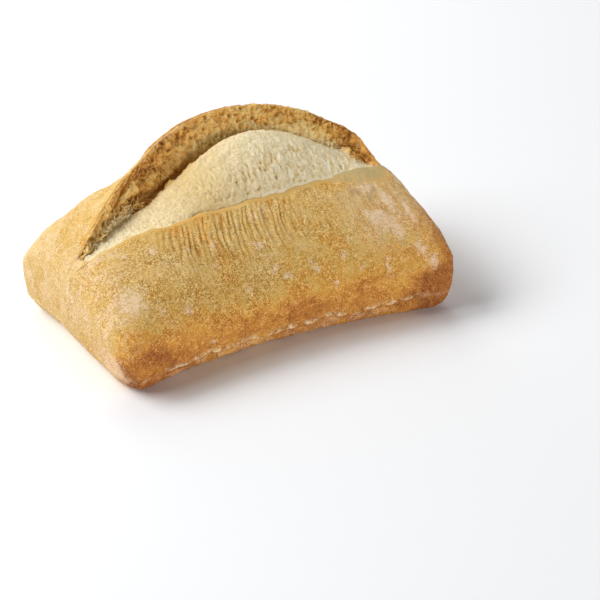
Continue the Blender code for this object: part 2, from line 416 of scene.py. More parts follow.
def flourDustGroup():
    # thin dusting: patches several millimetres wide, broken up by specks
    inputs = [("Vector", "Vector", None), ("Amount", "Float", 0.4), ("Patch", "Float", 160.0)]
    tree, source, sink = startGroup("flourDust", inputs, [("Mask", "Float")])
    vector, patch = source.outputs["Vector"], source.outputs["Patch"]
    cloud = noiseAt(vector, patch, 3.0, 0.55, 0.4)
    speck = noiseAt(vector, times(patch, 8.0), 2.0, 0.7)
    level = plus(times(cloud, 0.44), times(speck, 0.56))
    start = less(0.78, times(source.outputs["Amount"], 0.36))
    mask = calc("DIVIDE", less(level, start), 0.16, clamp=True)
    tree.links.new(mask, sink.inputs["Mask"])
    return tree


fineGrain = fineGrainGroup()
flourDust = flourDustGroup()


def useGroup(tree, group, inputs):
    return addNode(tree, "ShaderNodeGroup", node_tree=group, inputs=inputs)


def addBump(tree, shader, height, strength, distance):
    bump = addNode(tree, "ShaderNodeBump", {"Height": height, "Strength": strength, "Distance": distance})
    tree.links.new(bump.outputs[0], shader.inputs["Normal"])


# crust: how finely its skin is meshed, its edges at the slash, its relief and its looks (mm)
crust = {
    "stations": 400, "front": 78, "edge": 7, "floor": 6, "back": 46, "underRows": 28, "baseRows": 4,
    "edgeRadius": 1.0, "floorDepth": 7.0, "skinShare": 0.4,
    # size and depth of each kind of relief
    "relief": {"Swell": (24.0, 0.9), "Lump": (6.0, 0.45), "Grain": (1.5, 0.22),
               "Wrinkle": (2.5, 0.70), "Crease": (1.6, 0.9), "Ragged": (2.2, 0.45)},
    # browning, from 0 to 1: all over, towards the foot, and round these centres with these radii
    "bake": 0.44, "footBake": 0.36,
    "leftCorner": ((-64, -48, 10), (12.5, 10, 13)), "leftCornerBake": 0.78,
    "rightCorner": ((71, -45, 6), (11, 16, 13)), "rightCornerBake": 0.86,
    "browned": [(0.16, (-66, -46, 4), (11, 12, 7)), (0.24, (74, -36, 25), (9, 14, 16)),
                (0.04, (62, -40, 16), (18, 20, 16)), (0.26, (70, -28, 30), (8, 12, 10)),
                (0.13, (-42, -40, 24), (18, 12, 9))],
    "redSpots": [(45.5, -14.5, 44), (53.5, -14.5, 44), (49.5, -17.5, 44)], "redSpotRadii": (2.4, 2.7, 4),
    "speckled": ((-32, -38, 33), (30, 20, 13)),
    # the fold where the base was tucked under
    "foldHeight": 7.8, "foldRise": 1.6, "creaseWidth": 1.0, "tuckBelow": 1.6, "tuckWidth": 0.8,
    # flour all over and at the left end, and its patches: x, distance below the lip, half width, half length
    "flour": 0.40, "flouredEnd": ((-75, -39, 8), (6, 12, 6)),
    "flourPatches": [
        (-46, 11, 1.5, 2.0), (-33, 15, 1.4, 2.0), (-22.5, 16, 0.8, 3.0), (-25, 25, 1.6, 3.0),
        (-2, 9, 0.8, 4.0), (3.5, 10, 0.8, 4.0), (-5, 23, 1.8, 2.5), (11.8, 6.5, 1.2, 1.6),
        (-1.7, 35, 2.4, 2.4), (2.5, 40, 2.2, 1.6), (-15, 40, 1.3, 2.2), (14, 36.5, 1.3, 2.0),
        (15.5, 40.5, 1.4, 1.8), (28, 38.5, 2.0, 1.8), (34, 46, 1.4, 1.4), (22, 48.5, 1.3, 1.8),
        (44.5, 49, 1.1, 3.5), (48, 28, 3.2, 3.6), (54, 35.5, 1.6, 3.2), (60, 45, 2.2, 3.0),
        (63.5, 51, 1.6, 2.4), (-63, 27, 3.0, 3.0), (-42, 39.5, 1.4, 2.4), (-33, 55, 2.0, 1.6),
        (52, 13, 2.6, 2.0), (57, 20, 1.2, 5.0), (63, 28, 1.0, 5.0), (8, 14, 0.8, 5.0),
        (0.5, 8, 0.6, 5.0), (5.5, 7, 0.5, 4.0)],
    "baked": [(0.0, (0.83, 0.63, 0.33)), (0.25, (0.78, 0.54, 0.215)), (0.45, (0.74, 0.455, 0.110)),
              (0.64, (0.78, 0.385, 0.062)), (0.80, (0.64, 0.26, 0.045)), (1.0, (0.40, 0.13, 0.025))],
    # the hollow colour darkens the grain's brown hollows and is the painted shade in the wrinkle valleys
    "hollowAndShadeColour": (0.56, 0.42, 0.24), "paleGrain": (0.98, 0.78, 0.40), "goldGrain": (0.92, 0.54, 0.16),
    "skinColour": (0.64, 0.42, 0.145), "redColour": (0.46, 0.25, 0.11), "paleStrip": (0.44, 0.36, 0.19),
    "haze": (0.70, 0.53, 0.33), "flourColour": (0.93, 0.71, 0.50), "creaseColour": (0.95, 0.76, 0.46),
}


def crustSections(p):
    # over the top from the front seam to the back seam, dipping under the crumb in the slash
    at = slashLines(p)
    isOpen = at["open"]
    lip, rim, outer, groove, front, back = (at[k] for k in ("lip", "rim", "outer", "groove", "front", "back"))
    none = 0 * p
    reach = loaf["frontShoulder"] * (lip[:, 0] - front[:, 0])
    slope = loaf["lipSlope"] * at["grow"]["lip"]
    rising = front + yz(none, loaf["frontFullness"] * (lip[:, 1] - front[:, 1]))
    toLip = lip - yz(reach * np.cos(slope), reach * np.sin(slope))
    arch = evenCurve(front, rising, toLip, lip, crust["front"])
    r = crust["edgeRadius"] * isOpen
    wall = lip + yz(0.9 * r, -1.7 * r)
    turned = lip + yz(0.8 * r, 0.8 * r * np.sin(slope))
    lipEdge = evenCurve(lip, turned, wall + yz(none, 0.9 * r), wall, crust["edge"])
    skin = rim + (outer - rim) * crust["skinShare"]
    rimWall = skin - yz(none, 1.9 * isOpen)
    deep = crust["floorDepth"] * isOpen
    dropping = yz(wall[:, 0] + 0.4 * (groove[:, 0] - wall[:, 0]), wall[:, 1] - deep)
    floor = evenCurve(wall, dropping, yz(skin[:, 0], groove[:, 1] - 0.7 * deep), rimWall, crust["floor"])
    steep = loaf["rimSlope"] * at["grow"]["rim"]
    rounded = outer - yz(0.5 * isOpen * np.cos(steep), -0.5 * isOpen * np.sin(steep))
    rimEdge = evenCurve(rimWall, skin + yz(none, 0.3 * isOpen), rounded, outer, crust["edge"])
    reach = loaf["backShoulder"] * (back[:, 0] - outer[:, 0])
    falling = outer + yz(reach * np.cos(steep), -reach * np.sin(steep))
    lower = back + yz(none, loaf["backFullness"] * (outer[:, 1] - back[:, 1]))
    backArch = evenCurve(outer, falling, lower, back, crust["back"])
    runs = [arch, lipEdge[:, 1:], floor[:, 1:], rimEdge[:, 1:], backArch[:, 1:]]
    return np.concatenate(runs, 1), [run.shape[1] for run in runs], at


def buildCrust():
    # the whole skin of the loaf, closed under the crumb and over the base
    p = spreadStations(crust["stations"])
    sections, counts, at = crustSections(p)
    sheet = placeOnLoaf(p, sections)
    rows, columns = sections.shape[:2]
    lipColumn = counts[0] - 1
    rimColumn = sum(counts[:4]) - 1
    away = runLength(sections, lipColumn)
    beyond = runLength(sections, rimColumn)
    column = np.arange(columns)[None, :] + np.zeros((rows, 1), int)
    onBack = column >= sum(counts[:3])
    onFloor = (column > lipColumn + 2) & (column < rimColumn - 3)
    edgeRun = np.where(onBack, beyond, away)
    fields = {"edgeRun": edgeRun, "shown": np.where(onFloor, 0.0, 1.0), "isBack": onBack.astype(float),
              "open": at["open"][:, None] + 0 * away}
    fields = {name: [values.ravel()] for name, values in fields.items()}
    # the seam runs round the sheet, and rows go down from it to the middle of the base
    across, along = np.arange(columns), np.arange(rows) * columns
    loop = np.concatenate([along, along[-1] + across[1:], along[-2::-1] + columns - 1, across[-2:0:-1]])
    flat = sheet.reshape(-1, 3)
    seam = flat[loop]
    points = [flat]
    faces = [gridFaces(rows, columns)]
    previous, total = loop, len(flat)
    side = np.clip(1 - (seam[:, 0] / loaf["halfLength"]) ** 2, 0, 1)
    side = side * np.clip(np.abs(seam[:, 1]) / loaf["halfWidth"] * 2 - 1, 0, 1)
    turn = loaf["underTurn"] + loaf["underTurnSides"] * side
    n = len(loop)
    seamRun = fields["edgeRun"][0][loop]
    down = 0.0
    before = seam
    for k in range(1, crust["underRows"] + crust["baseRows"]):
        if k < crust["underRows"]:
            angle = k / (crust["underRows"] - 1) * math.pi / 2
            inward = 1 - max(math.cos(angle), 0.0) ** loaf["underRoundness"]
            height = 1 - math.sin(angle) ** loaf["underRoundness"]
            x = seam[:, 0] * (1 - turn * inward / loaf["halfLength"])
            y = seam[:, 1] * (1 - turn * inward / loaf["halfWidth"])
            row = np.stack([x, y, seam[:, 2] * height], -1)
            foot = row
        else:
            shrunk = 1 - (k - crust["underRows"] + 1) / (crust["baseRows"] + 0.5)
            row = foot * [shrunk, shrunk, 0.0]
        down = down + np.linalg.norm(row - before, axis=1)
        before = row
        index = total + np.arange(n)
        faces.append(np.stack([previous, index, np.roll(index, -1), np.roll(previous, -1)], -1))
        points.append(row)
        fields["edgeRun"].append(seamRun + np.where(seamRun < 0, -down, down))
        fields["shown"].append(np.full(n, 1.0 if k < crust["underRows"] - 1 else 0.0))
        fields["isBack"].append((seam[:, 1] > 0).astype(float))
        fields["open"].append(np.zeros(n))
        previous, total = index, total + n
    fields = {name: np.concatenate(values) for name, values in fields.items()}
    return np.concatenate(points), np.concatenate(faces), fields, previous[::-1]


crustPoints, crustFaces, crustFields, crustCap = buildCrust()
middle = (crustPoints.min(0) + crustPoints.max(0)) / 2 * [1, 1, 0]
frameMiddle = np.array([(nodeLow.x + nodeHigh.x) / 2 / unit, (nodeLow.y + nodeHigh.y) / 2 / unit, 0.0])
shift = frameMiddle - middle
crustPoints = crustPoints + shift
print("crust skin: %d points" % len(crustPoints))


def paintCrust(points, fields):
    # slow masks over the crust: how brown, how floury, how stretched, how smooth
    x, y, z = (points - shift).T
    p, run, back = x / loaf["halfLength"], fields["edgeRun"], fields["isBack"]
    # where the slash is shut the front's looks run over into the back's
    shut = 1 - smooth(fields["open"], 0.0, 0.3)
    pastSlash = y - loaf["slashOffset"] - loaf["slashTurn"] * p + 3 * np.sin(z / 4.0)
    back = back + (smooth(pastSlash, -22, 14) - back) * shut
    ahead = 1 - back
    leftward, rightward = fade(p, -0.95, -0.45), smooth(p, 0.55, 1.0)
    leftCorner, rightCorner = (spot(x, y, z, *crust[name]) for name in ("leftCorner", "rightCorner"))
    low = smooth(4.0 * smooth(p, -0.75, -0.45) + 5.0 * smooth(p, -0.1, 0.5) - z, -25.0, -8.0)
    footBake = low * (crust["footBake"] - 0.06 * smooth(p, 0.3, 0.6)) * (ahead + 0.6 * back)
    bake = crust["bake"] + footBake * smooth(p, -0.95, -0.6) + 0.06 * rightward * fade(z, 16, 34)
    bake = bake - 0.08 * ahead * leftward * smooth(z, 8, 20)
    bake = bake - 0.10 * back * fade(p, -0.4, 0.3) - 0.02 * back
    bake = bake + crust["leftCornerBake"] * leftCorner + crust["rightCornerBake"] * rightCorner
    for strength, centre, radii in crust["browned"]:
        bake = bake + strength * spot(x, y, z, centre, radii)
    redSpots = sum(spot(x, y, z, centre, crust["redSpotRadii"]) for centre in crust["redSpots"])
    # run is the distance from the slash's edge, less than 0 down the front
    edge = smooth(fields["open"], 0.2, 0.9)
    stretch = ahead * smooth(run, -36, -14) * fade(run, -3.5, -1.5) * smooth(p, -0.68, -0.42)
    stretch = stretch * (0.25 + 0.75 * fade(p, 0.12, 0.26)) * fade(p, 0.6, 0.95)
    # the wrinkles run straight down from the lip, then lean to the right
    slant = x - 0.42 * run - 0.012 * np.clip(-run - 5, 0, 26) ** 2
    skinWidth = 0.7 + 0.7 * smooth(p, -0.3, 0.1) + 5.5 * smooth(p, 0.5, 0.72) * fade(p, 0.82, 0.98)
    frontSkin = smooth(run, -1.9 * skinWidth, -0.7 * skinWidth)
    skin = np.where(back > 0.5, fade(run, -0.3, 1.6) * 0.5, frontSkin) * edge
    pale = smooth(p, 0.45, 0.62) * fade(p, 0.90, 0.99) * skin * ahead
    stroked = ahead * smooth(run, -42, -20) * smooth(p, -0.75, -0.4) * fade(run, -3, -0.5)
    streaky = ahead * smooth(p, 0.36, 0.60) * smooth(run, -50, -26) * fade(run, -11, -7)
    burnt = back * smooth(p, 0.62, 0.74) * fade(p, 0.95, 0.995) * fade(np.abs(run), 4, 7.5)
    burntRim = 0.7 * back * edge * fade(np.abs(run), 1.2, 2.6) * smooth(p, -0.55, -0.4)
    rim = bell(run, 0, 1.6) * edge * back
    # the fold at the foot
    foldHeight = crust["foldHeight"] + crust["foldRise"] * p
    foldHeight = foldHeight + 0.5 * np.sin(x / 7.0) + 0.4 * np.sin(x / 2.9 + 1) + 0.3 * np.sin(x / 1.1 + 2)
    facing = 0.3 + 0.7 * fade(y, -20, 0) * smooth(p, -0.85, -0.5) + 0.5 * smooth(y, 0, 20)
    facing = facing * (1 - 0.85 * smooth(p, 0.66, 0.84))
    crease = bell(z, foldHeight, crust["creaseWidth"]) * facing
    tuck = bell(z, foldHeight - crust["tuckBelow"], crust["tuckWidth"]) * facing
    under = smooth(foldHeight - z, 0.5, 2.5) * ahead * smooth(p, -0.9, -0.6)
    # flour
    flour = crust["flour"] - 0.12 * low * ahead - 0.3 * redSpots - 0.4 * skin
    flour = flour - 0.7 * leftCorner - 0.7 * rightCorner
    flour = flour + 0.50 * leftward * ahead + 0.14 * leftward * back + 0.32 * back
    flour = flour + 1.1 * spot(x, y, z, *crust["flouredEnd"])
    flour = flour + 0.26 * smooth(p, 0.35, 0.7) * ahead * smooth(z, 8, 18)
    for atX, below, halfWidth, halfLength in crust["flourPatches"]:
        aside = (x + 0.5 * np.sin(run * 1.7) - atX) / halfWidth
        along = (run + 0.5 * np.sin(x * 2.1) + below) / halfLength
        flour = flour + 0.80 * np.exp(-(aside**2 + along**2) / 1.5) * ahead
    flour = flour + 0.5 * under * (1 - smooth(p, 0.60, 0.84))
    none = 0 * x
    return {
        "bake": np.clip(bake, 0, 1 + 0.3 * rightCorner), "flour": np.clip(flour, 0, 1.4), "streaky": streaky,
        "burnt": np.maximum(burnt, burntRim), "stretch": stretch, "skin": np.clip(skin, 0, 1), "pale": pale,
        "red": redSpots, "speckled": spot(x, y, z, *crust["speckled"]), "back": back, "crease": crease,
        "shown": fields["shown"] * smooth(z, 0.1, 1.6), "tuck": tuck, "under": under, "rim": rim,
        "stroked": stroked, "gritty": fields["shown"] * smooth(flour, 0.35, 0.9),
        "wrinkled": np.stack([slant, run, none], -1) * unit,
    }


crustPiece = newMesh("crust", crustPoints, crustFaces, paintCrust(crustPoints, crustFields), [crustCap])


def strokesAt(tree, scale, detail):
    # noise in strokes that run down from the lip, as the wrinkles do
    place = {"Vector": attributeOf(tree, "wrinkled", "Vector"), "Scale": scale}
    return noiseAt(addNode(tree, "ShaderNodeMapping", place).outputs[0], 1.0, detail, 0.6)


def crustMaterial():
    material, tree, shader = newMaterial("golden floured crust", 0.8, 0.04)
    where = addNode(tree, "ShaderNodeTexCoord").outputs["Object"]
    bake, flour, skin, valley = (attributeOf(tree, name) for name in ("bake", "flour", "skin", "valley"))
    pale, crease, streaky = (attributeOf(tree, name) for name in ("pale", "crease", "streaky"))
    tuck, rim, back = (attributeOf(tree, name) for name in ("tuck", "rim", "back"))
    rough = less(1.0, times(skin, 0.85))
    # browning: slow blotches, small clouds and strokes
    blotch = noiseAt(where, 62.0, 4.0, 0.6)
    cloud = noiseAt(where, 260.0, 3.0, 0.6)
    band = strokesAt(tree, (420.0, 70.0, 0.0), 3.0)
    tone = plus(bake, times(middled(blotch), 0.80), times(middled(cloud), 0.50))
    tone = plus(tone, times(tuck, 0.10), times(attributeOf(tree, "under"), -0.04))
    tone = plus(tone, times(streaky, fit(band, 0.50, 0.36), 0.20))
    tone = plus(tone, times(attributeOf(tree, "burnt"), 0.42), times(rim, 0.12), clamp=True)
    colour = ramp(tone, crust["baked"])
    # the grain of the dough's skin: brown hollows and pale specks, with faint strokes down from the lip
    grain = useGroup(tree, fineGrain, {"Vector": where, "Scale": 1650.0, "Contrast": 4.6})
    calm = times(rough, less(1.0, times(back, 0.25)))
    stroke = middled(strokesAt(tree, (950.0, 150.0, 0.0), 2.0))
    stroke = times(stroke, attributeOf(tree, "stroked"), 1.4)
    grainTone = plus(grain.outputs["Tone"], stroke, clamp=True)
    sprinkle = fit(noiseAt(where, 120.0, 3.0, 0.6), 0.36, 0.62, 0.55, 1.25)
    dark = times(fit(grainTone, 0.68, 0.0), calm, sprinkle)
    strength = plus(0.88, times(attributeOf(tree, "speckled"), 0.40))
    # painted shade: the wrinkle valleys are darkened as well as the grain's hollows
    dark = most(times(dark, strength), times(valley, 0.55), clamp=True)
    colour = mixColour(dark, colour, crust["hollowAndShadeColour"], "MULTIPLY")
    # painted highlight: the wrinkles' crests are lightened, like the grain's pale specks
    ridge = times(attributeOf(tree, "stretch"), fit(attributeOf(tree, "crown"), 0.28, 0.48), 0.5)
    light = most(times(fit(grainTone, 0.58, 1.0), calm, sprinkle), ridge)
    lightColour = mixColour(fit(tone, 0.50, 0.85), crust["paleGrain"], crust["goldGrain"])
    seared = fit(tone, 0.74, 1.0, 1.0, 0.45)
    colour = mixColour(times(light, seared, 0.62), colour, lightColour)
    # the smooth skin at the lip, the red spots, the pale strip and the haze beside it
    colour = mixColour(times(skin, 0.55), colour, crust["skinColour"])
    reddish = times(attributeOf(tree, "red"), fit(cloud, 0.36, 0.50), 0.85)
    colour = mixColour(reddish, colour, crust["redColour"])
    ragged = fit(noiseAt(where, 420.0, 3.0), 0.35, 0.60, 0.45, 1.0)
    colour = mixColour(times(pale, ragged, 0.8), colour, crust["paleStrip"])
    colour = mixColour(times(streaky, 0.26), colour, crust["haze"])
    # flour, and the torn crease at the foot
    flour = plus(flour, times(streaky, fit(band, 0.46, 0.62), 0.30))
    dust = useGroup(tree, flourDust, {"Vector": where, "Amount": flour, "Patch": 165.0}).outputs["Mask"]
    dust = times(dust, less(1.0, valley), fit(grain.outputs["Tone"], 0.1, 0.6, 0.45, 1.0), 0.74)
    colour = mixColour(dust, colour, crust["flourColour"])
    torn = fit(noiseAt(where, 300.0, 4.0, 0.7), 0.44, 0.60)
    colour = mixColour(times(crease, torn, 1.2), colour, crust["creaseColour"])
    tree.links.new(colour, shader.inputs["Base Color"])
    addBump(tree, shader, times(grain.outputs["Height"], rough), 0.7, 0.0009)
    return material


def crustReliefTree():
    tree, source, sink, identifiers = startTree("crustRelief", sizeInputs(crust["relief"]))
    given = source.outputs
    stretch = named(tree, "stretch")
    grain = times(roundNoise(tree, given, "Grain", 2.0), less(1.0, named(tree, "skin")))
    total = plus(roundNoise(tree, given, "Swell", 1.0), roundNoise(tree, given, "Lump", 2.0), grain)
    # stretch wrinkles: valleys side by side that wander, fade out and start again
    spacing, depth = given["Wrinkle Size"], given["Wrinkle Depth"]
    sideways = addNode(tree, "ShaderNodeSeparateXYZ", {0: named(tree, "wrinkled", "FLOAT_VECTOR")}).outputs[0]
    wander = drawnNoise(tree, times(spacing, 2.2), "wrinkled", 0.25, 2.0, 0.0)
    phase = plus(over(sideways, spacing), times(wander, 2.6))
    apart = calc("ABSOLUTE", middled(calc("FRACT", phase)))
    lasting = fit(drawnNoise(tree, times(spacing, 1.2), "wrinkled", 0.22, 1.0, 0.0), -0.17, 0.02)
    valley = times(fit(apart, 0.24, 0.02), lasting, stretch)
    total = less(total, times(valley, depth))
    fold = times(drawnNoise(tree, times(spacing, 1.7), "wrinkled", 0.12), stretch)
    total = plus(total, times(fold, depth, 1.4))
    # the crease where the base was tucked under, broken into lumps
    depth = given["Crease Depth"]
    broken = plus(roundNoise(tree, given, "Crease", 2.0), times(depth, 0.8))
    total = plus(total, times(broken, named(tree, "crease")))
    total = less(total, times(depth, named(tree, "tuck"), 0.9))
    # ragged at the ear's rim, where it is burnt, and under the fold
    ruggedAt = most(named(tree, "rim"), times(named(tree, "burnt"), 1.5))
    ruggedAt = most(ruggedAt, times(named(tree, "under"), 2.4))
    total = plus(total, times(roundNoise(tree, given, "Ragged", 3.0), ruggedAt))
    total = times(total, named(tree, "shown"))
    # the valleys and crests go to the material for the painted shade and painted highlight on the wrinkles
    stored = storeValue(tree, given["Geometry"], "valley", valley)
    stored = storeValue(tree, stored, "crown", apart)
    finishTree(tree, source, sink, pushOut(tree, stored, total))
    return tree, identifiers


runTree(crustPiece, *crustReliefTree(), sizeValues(crust["relief"], crustMaterial()))
print("crust done: %d faces" % len(crustPiece.data.polygons))

# crumb: the dome in the slash and the rough inner face of the ear, in one closed lens (mm)
crumb = {
    "stations": 440, "root": 4, "dome": 68, "valley": 26, "face": 58, "edge": 16, "under": 12,
    "ends": (-0.944, 0.9998), "sink": 1.2, "belowFloor": 1.2,
    # size and depth of each kind of relief
    "relief": {"Dimple": (5.0, 0.8), "Cell": (1.5, 1.15), "Crag": (4.6, 3.8), "Crumble": (1.5, 1.35),
               "Pit": (2.4, 1.4), "Streak": (1.5, 1.3), "Fuzz": (0.9, 0.48), "Crack": (1.0, 1.6),
               "Fibre": (0.8, 0.34)},
    "cream": [(0.30, (0.75, 0.60, 0.33)), (0.50, (0.82, 0.69, 0.43)), (0.72, (0.89, 0.78, 0.54))],
    "toasted": [(0.08, (0.88, 0.69, 0.34)), (0.36, (0.87, 0.60, 0.22)), (0.58, (0.81, 0.47, 0.12)),
                (0.80, (0.62, 0.30, 0.065)), (1.0, (0.38, 0.15, 0.03))],
    # the hollow colour is painted shade in the opened bubbles, pores, crack and pockets
    # the ridge colour is for pale crumb specks, the torn white crumb at the lip and the painted highlight on
    # raised fibres and bubble walls
    "dotColour": (0.74, 0.57, 0.24), "paleAndHighlightColour": (0.99, 0.90, 0.69), "hollowAndShadeColour": (0.72, 0.50, 0.18),
    "rolledColour": (0.76, 0.52, 0.25),
}


def crumbSections(p):
    # root, dome, valley, the ear's inner face, its edge, and back underneath to the root
    at = slashLines(p)
    isOpen = at["open"]
    lip, crest, rim, outer, groove = (at[k] for k in ("lip", "crest", "rim", "outer", "groove"))
    none = 0 * p
    # near its ends the cream crumb climbs up the ear and fills the groove
    climb = 0.27 * fade(p, -0.60, -0.30) * smooth(p, -0.86, -0.72) + 0.08 * smooth(p, 0.5, 0.72)
    groove = groove + (rim - groove) * climb[:, None]
    start = lip + yz(-1.6 * isOpen, -3.2 * isOpen)
    low = lip + yz(none, -0.5 * isOpen)
    rooted = yz(0.4 * isOpen, 0.9 * isOpen)
    up, down = crest - low, groove - crest
    face = rim - groove
    past = rim + (outer - rim) * 0.6
    end = past - yz(none, 1.1 * isOpen)
    deep = (crust["floorDepth"] + crumb["belowFloor"]) * isOpen
    behind = yz(outer[:, 0] - 0.2 * isOpen, groove[:, 1] - 0.7 * deep)
    beneath = yz(lip[:, 0] + 0.4 * (groove[:, 0] - lip[:, 0]), lip[:, 1] - deep - 1.5 * isOpen)
    curves = {
        "root": (start, start + rooted, low - rooted, low),
        "dome": (low, low + up * [0.16, loaf["domeFullness"]], crest - up * [0.5, 0.0], crest),
        "valley": (crest, crest + down * [0.6, 0.0], groove - down * [0.05, 0.45], groove),
        "face": (groove, groove + face * [0.15, 0.33], rim - face * [0.1, 0.3], rim),
        "edge": (rim, rim + face * [0.01, 0.02], past + yz(none, 0.2 * isOpen), end),
        "under": (end, behind, beneath, start),
    }
    runs = [evenCurve(*curve, crumb[name])[:, 1:] for name, curve in curves.items()]
    runs[0] = np.concatenate([start[:, None], runs[0]], 1)
    runs[-1] = runs[-1][:, :-1]
    return np.concatenate(runs, 1), [run.shape[1] for run in runs], at


def buildCrumb():
    p = spreadStations(crumb["stations"], *crumb["ends"])
    sections, counts, at = crumbSections(p)
    sunk = sections - yz(0 * p, crumb["sink"] * (1 - at["open"]))[:, None, :]
    points = placeOnLoaf(p, sunk)
    rows, columns = sections.shape[:2]
    lipColumn, crest, groove, rim, last = np.cumsum(counts)[:5] - [0, 1, 1, 1, 1]
    column = np.arange(columns)[None, :] + 0.0 * p[:, None]
    along = p[:, None] + 0 * column
    upDome = np.interp(column, [lipColumn, crest], [0.0, 1.0])
    upFace = np.interp(column, [groove, rim, last], [0.0, 1.0, 1.3])
    # the torn edge between the cream crumb and the browned face wanders
    wander = 0.05 * np.sin(along * 41) + 0.04 * np.sin(along * 97 + 1)
    intoGroove = np.interp(column, [crest, groove], [0.0, 1.0]) + wander
    middlePart = smooth(along, -0.56, -0.50) * fade(along, 0.3, 0.5)
    rightEnd = smooth(along, 0.79, 0.85)
    toast = smooth(upFace + wander, 0.01, 0.12) * (column >= groove - 4)
    toast = np.maximum(toast, smooth(intoGroove, 0.35, 0.75) * middlePart)
    toast = np.maximum(toast, smooth(intoGroove, 0.0, 0.35) * rightEnd)
    toast = np.maximum(toast, smooth(upDome, 0.62, 0.86) * rightEnd)
    # bubbles and pores of the dome, pits of the ear
    cells = smooth(upDome, 0.02, 0.10) * (0.25 + 0.75 * fade(upDome, 0.45, 0.85))
    cells = cells * (0.3 + 0.7 * smooth(along, -0.35, 0.05)) * (column < groove)
    pits = (0.7 * bell(upFace, 0.85, 0.25) + 0.25) * (toast > 0.4)
    pores = 0.9 * (bell(upDome, 0.12, 0.10) + 0.6 * bell(upDome, 0.35, 0.15))
    pores = pores * smooth(along, -0.45, 0.1) * fade(along, 0.45, 0.75)
    pits = pits + pores * (column > lipColumn) * (upDome < 0.95)
    # the crack at the ear's left end, and the pockets under the ear
    crack = bell(upFace, 0.86 + 3.0 * (along + 0.49), 0.07)
    crack = crack * smooth(along, -0.66, -0.60) * fade(along, -0.47, -0.42)
    pocket = bell(along, -0.50, 0.07) * bell(upFace, 0.20, 0.14)
    pocket = pocket + 0.7 * bell(along, -0.2, 0.25) * bell(upFace, 0.0, 0.10)
    brown = 0.50 - 0.16 * smooth(along, -0.25, 0.15) + 0.16 * smooth(upFace, 0.45, 0.8)
    brown = brown + 0.16 * smooth(along, 0.62, 0.85) + 0.2 * smooth(along, 0.80, 0.90)
    brown = brown + 0.08 * fade(along, -0.35, -0.1) * smooth(along, -0.5, -0.4)
    brown = brown - 0.22 * bell(along, -0.545, 0.05) * bell(upFace, 0.35, 0.4)
    brown = brown - 0.2 * fade(along, -0.7, -0.62)
    calmFace = fade(upFace, 0.15, 0.62) * smooth(along, -0.35, 0.05) * fade(along, 0.75, 0.85)
    brown = brown - 0.38 * calmFace
    rugged = (1 - 0.5 * calmFace) * (1 - 0.7 * smooth(upFace, 0.88, 1.02))
    # the rim is rolled over in the middle, and calmer there
    rolled = smooth(upFace, 0.93, 0.99) * smooth(along, -0.48, -0.38) * fade(along, -0.1, 0)
    rolled = np.maximum(0.7 * rolled, 0.6 * smooth(upFace, 1.04, 1.12))
    shown = np.where((column > 1) & (column < last), 1.0, 0.0) * (0.25 + 0.75 * at["open"][:, None])
    shown = shown * (1 - 0.5 * smooth(upFace, 1.0, 1.12)) * (1 - 0.5 * smooth(along, 0.80, 0.9))
    shown = shown * (1 - 0.6 * rolled)
    # where shreds and crumbs cling
    ragged = fade(along, -0.55, -0.42) * smooth(along, -0.86, -0.8)
    ragged = ragged + smooth(along, 0.66, 0.74) * fade(along, 0.88, 0.95)
    tear = (column > groove - 5) * fade(upFace, 0.05, 0.16) * ragged
    crumbly = (column > lipColumn + 1) & (column < rim - 5)
    crumbly = crumbly * (0.4 + 0.6 * (toast > 0.5)) * at["open"][:, None]
    # the torn white crumb along the lip, painted lighter too to lift the shade under the dome's foot
    lipStrip = 0.6 * bell(upDome, 0.035, 0.035) * (column > lipColumn)
    fields = {"toast": toast, "shown": shown, "cells": cells, "pits": pits, "crack": crack, "pocket": pocket,
              "brown": brown, "tear": tear, "rugged": rugged, "crumbly": crumbly, "rolled": rolled,
              "lipStrip": lipStrip}
    fields = {name: (values + 0 * along).ravel() for name, values in fields.items()}
    run = runLength(sections, lipColumn)
    fields["fold"] = np.stack([points[..., 0], run, 0 * run], -1).reshape(-1, 3) * unit
    caps = [np.arange(columns), ((rows - 1) * columns + np.arange(columns))[::-1]]
    return points.reshape(-1, 3) + shift, gridFaces(rows, columns, closed=True), fields, caps


crumbPiece = newMesh("crumb", *buildCrumb())
print("crumb: %d points" % len(crumbPiece.data.vertices))


